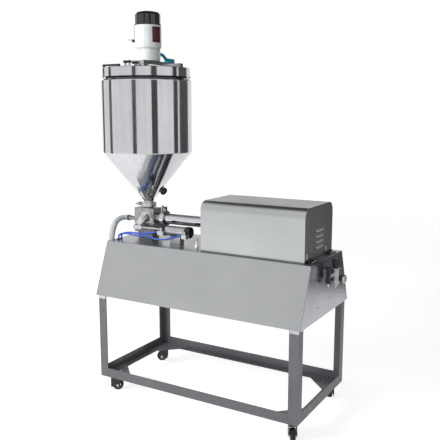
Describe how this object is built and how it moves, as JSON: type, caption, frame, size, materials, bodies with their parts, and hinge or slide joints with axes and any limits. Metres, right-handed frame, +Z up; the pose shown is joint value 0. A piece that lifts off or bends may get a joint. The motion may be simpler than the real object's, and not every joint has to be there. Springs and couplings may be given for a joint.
{
  "type": "piston liquid filler",
  "caption": "Piston filler on a castor stand: stirred cone hopper, rotary valve, measuring cylinder, hooded air drive and air regulator.",
  "frame": {"origin": "on the floor, under the middle of the machine's bounding box", "axes": "+Z up, +X along the machine from the filling end to the air inlet end, -Y towards the operator"},
  "size_m": [1.1392, 0.502, 1.6762],
  "materials": {
    "frame_paint": "satin",
    "brushed_stainless": "brushed",
    "polished_stainless": "polished",
    "cast_paint": "satin",
    "aluminium": "anodised",
    "black_steel": "satin",
    "black_plastic": "matte",
    "white_plastic": "gloss",
    "blue_plastic": "gloss",
    "blue_tube": "gloss",
    "clear_hose": "translucent",
    "tyre": "matte"
  },
  "bodies": {
    "machine": {"end_frame_left": "frame_paint", "end_frame_right": "frame_paint", "lower_rail_front": "frame_paint", "lower_rail_rear": "frame_paint", "caster_plate_front_left": "frame_paint", "caster_plate_front_right": "frame_paint", "caster_plate_rear_left": "frame_paint", "caster_plate_rear_right": "frame_paint", "cabinet_shell": "brushed_stainless", "cabinet_end_left": "brushed_stainless", "cabinet_end_right": "brushed_stainless", "cabinet_floor": "brushed_stainless", "hood_seat": "black_plastic", "hood_catch": "white_plastic", "hinge_leaf_front": "black_plastic", "hinge_leaf_rear": "black_plastic", "hopper": "polished_stainless", "level_sensor": "black_plastic", "neck_clamp": "brushed_stainless", "cylinder_clamp": "brushed_stainless", "valve_body": "brushed_stainless", "product_cylinder": "polished_stainless", "tube_support": "aluminium", "air_cylinder_barrel": "aluminium", "air_cylinder_caps": "aluminium", "actuator_cylinder": "aluminium", "air_tube_front": "blue_tube", "air_tube_rear": "blue_tube", "outlet_hose": "clear_hose", "nozzle": "polished_stainless", "lid": "brushed_stainless", "motor_beam": "frame_paint", "gearbox": "cast_paint", "motor_body": "cast_paint", "fan_cover": "black_steel", "terminal_box": "cast_paint", "feed_elbow": "blue_plastic", "filter_regulator": "aluminium", "pressure_gauge": "black_steel"},
    "fork_front_left": {"caster_fork_front_left": "black_steel"},
    "fork_front_right": {"caster_fork_front_right": "black_steel"},
    "fork_rear_left": {"caster_fork_rear_left": "black_steel"},
    "fork_rear_right": {"caster_fork_rear_right": "black_steel"},
    "wheel_front_left": {"caster_wheel_front_left": "tyre"},
    "wheel_front_right": {"caster_wheel_front_right": "tyre"},
    "wheel_rear_left": {"caster_wheel_rear_left": "tyre"},
    "wheel_rear_right": {"caster_wheel_rear_right": "tyre"},
    "hood": {"hood_cover": "brushed_stainless"},
    "drive": {"drive_rod": "polished_stainless", "product_piston": "white_plastic"},
    "valve": {"valve_plug": "polished_stainless", "valve_lever": "brushed_stainless"},
    "actuator": {"actuator_rod": "polished_stainless"},
    "flap": {"lid_flap": "brushed_stainless", "flap_strap": "black_plastic"},
    "stirrer_shaft": {"stirrer": "brushed_stainless"},
    "rotor": {"motor_rotor": "aluminium"},
    "knob": {"regulator_knob": "black_plastic"},
    "neck_nut": {"neck_clamp_nut": "brushed_stainless"},
    "cylinder_nut": {"cylinder_clamp_nut": "brushed_stainless"}
  },
  "joints": [
    {"name": "swivel_front_left", "type": "hinge", "parent": "machine", "child": "fork_front_left", "pos_m": [-0.43335, -0.2022, 0.06], "axis": [0, 0, 1], "continuous": true},
    {"name": "swivel_front_right", "type": "hinge", "parent": "machine", "child": "fork_front_right", "pos_m": [0.44805, -0.2022, 0.06], "axis": [0, 0, 1], "continuous": true},
    {"name": "swivel_rear_left", "type": "hinge", "parent": "machine", "child": "fork_rear_left", "pos_m": [-0.43335, 0.2022, 0.06], "axis": [0, 0, 1], "continuous": true},
    {"name": "swivel_rear_right", "type": "hinge", "parent": "machine", "child": "fork_rear_right", "pos_m": [0.44805, 0.2022, 0.06], "axis": [0, 0, 1], "continuous": true},
    {"name": "roll_front_left", "type": "hinge", "parent": "fork_front_left", "child": "wheel_front_left", "pos_m": [-0.41784, -0.19306, 0.025], "axis": [-0.5075, 0.8616, 0], "continuous": true},
    {"name": "roll_front_right", "type": "hinge", "parent": "fork_front_right", "child": "wheel_front_right", "pos_m": [0.45705, -0.21779, 0.025], "axis": [0.866, 0.5, 0], "continuous": true},
    {"name": "roll_rear_left", "type": "hinge", "parent": "fork_rear_left", "child": "wheel_rear_left", "pos_m": [-0.44894, 0.1932, 0.025], "axis": [0.5, -0.866, 0], "continuous": true},
    {"name": "roll_rear_right", "type": "hinge", "parent": "fork_rear_right", "child": "wheel_rear_right", "pos_m": [0.43905, 0.21779, 0.025], "axis": [-0.866, -0.5, 0], "continuous": true},
    {"name": "hood_hinge", "type": "hinge", "parent": "machine", "child": "hood", "pos_m": [0.46735, -0.005, 0.6833], "axis": [0, 1, 0], "range_deg": [0, 75]},
    {"name": "piston_stroke", "type": "slide", "parent": "machine", "child": "drive", "axis": [1, 0, 0], "range_m": [0, 0.2]},
    {"name": "valve_turn", "type": "hinge", "parent": "machine", "child": "valve", "pos_m": [-0.36265, 0, 0.771], "axis": [0, -1, 0], "range_deg": [0, 90]},
    {"name": "actuator_stroke", "type": "slide", "parent": "machine", "child": "actuator", "axis": [1, 0, 0], "range_m": [0, 0.0791]},
    {"name": "flap_hinge", "type": "hinge", "parent": "machine", "child": "flap", "pos_m": [-0.43265, 0, 1.4361], "axis": [0, 1, 0], "range_deg": [0, 60]},
    {"name": "stirrer_turn", "type": "hinge", "parent": "machine", "child": "stirrer_shaft", "pos_m": [-0.37065, 0, 1.2], "axis": [0, 0, 1], "continuous": true},
    {"name": "rotor_turn", "type": "hinge", "parent": "machine", "child": "rotor", "pos_m": [-0.37065, 0.016, 1.55], "axis": [0, 0, 1], "continuous": true},
    {"name": "knob_turn", "type": "hinge", "parent": "machine", "child": "knob", "pos_m": [0.53135, 0, 0.66], "axis": [0, 0, 1], "continuous": true},
    {"name": "neck_nut_turn", "type": "hinge", "parent": "machine", "child": "neck_nut", "pos_m": [-0.41765, -0.0083, 0.831], "axis": [0, -1, 0], "continuous": true},
    {"name": "cylinder_nut_turn", "type": "hinge", "parent": "machine", "child": "cylinder_nut", "pos_m": [-0.28065, -0.0083, 0.818], "axis": [0, -1, 0], "continuous": true}
  ],
  "couplings": [
    {"joint": "actuator_stroke", "follows": "valve_turn", "m_per_rad": 0.050293},
    {"joint": "rotor_turn", "follows": "stirrer_turn", "ratio": 15}
  ]
}
